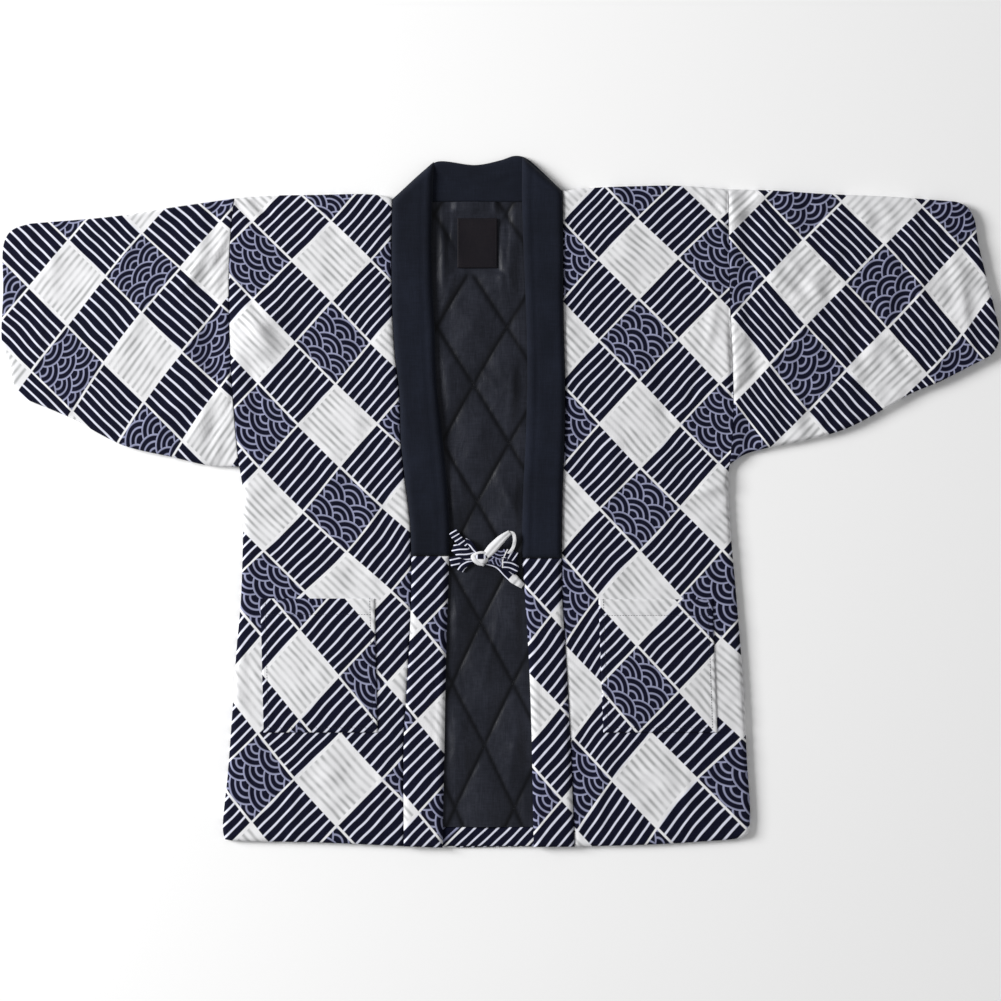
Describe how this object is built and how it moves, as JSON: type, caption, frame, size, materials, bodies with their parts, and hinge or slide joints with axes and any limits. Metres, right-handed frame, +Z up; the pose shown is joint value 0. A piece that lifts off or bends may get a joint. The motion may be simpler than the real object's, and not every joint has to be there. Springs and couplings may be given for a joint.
{
  "type": "hanten",
  "caption": "Padded cotton hanten jacket laid flat, front up, with a dark collar, quilted lining, patch pockets and a small cloth tie bow.",
  "frame": {"origin": "centre of the garment's box, on the surface that it lies on", "axes": "+X to the right as seen from above with the neck at the top, +Y from the hem to the neck, +Z up, away from the surface"},
  "size_m": [1.2474, 0.866, 0.0208],
  "materials": {
    "print_cotton": "matte plain-weave cotton, printed navy and white",
    "collar_cotton": "matte dark navy cotton, padded",
    "lining_quilted": "quilted charcoal lining with a faint sheen",
    "label_woven": "dark woven satin label"
  },
  "bodies": {
    "root": {"back": "print_cotton", "back_lining": "lining_quilted", "back_hem_facing": "print_cotton", "neck_label": "label_woven", "front_left": "print_cotton", "front_right": "print_cotton", "sleeve_left": "print_cotton", "sleeve_right": "print_cotton", "collar": "collar_cotton", "front_band_left": "print_cotton", "front_band_right": "print_cotton", "pocket_left": "print_cotton", "pocket_right": "print_cotton", "tie_left": "print_cotton", "tie_right": "print_cotton"}
  },
  "joints": []
}
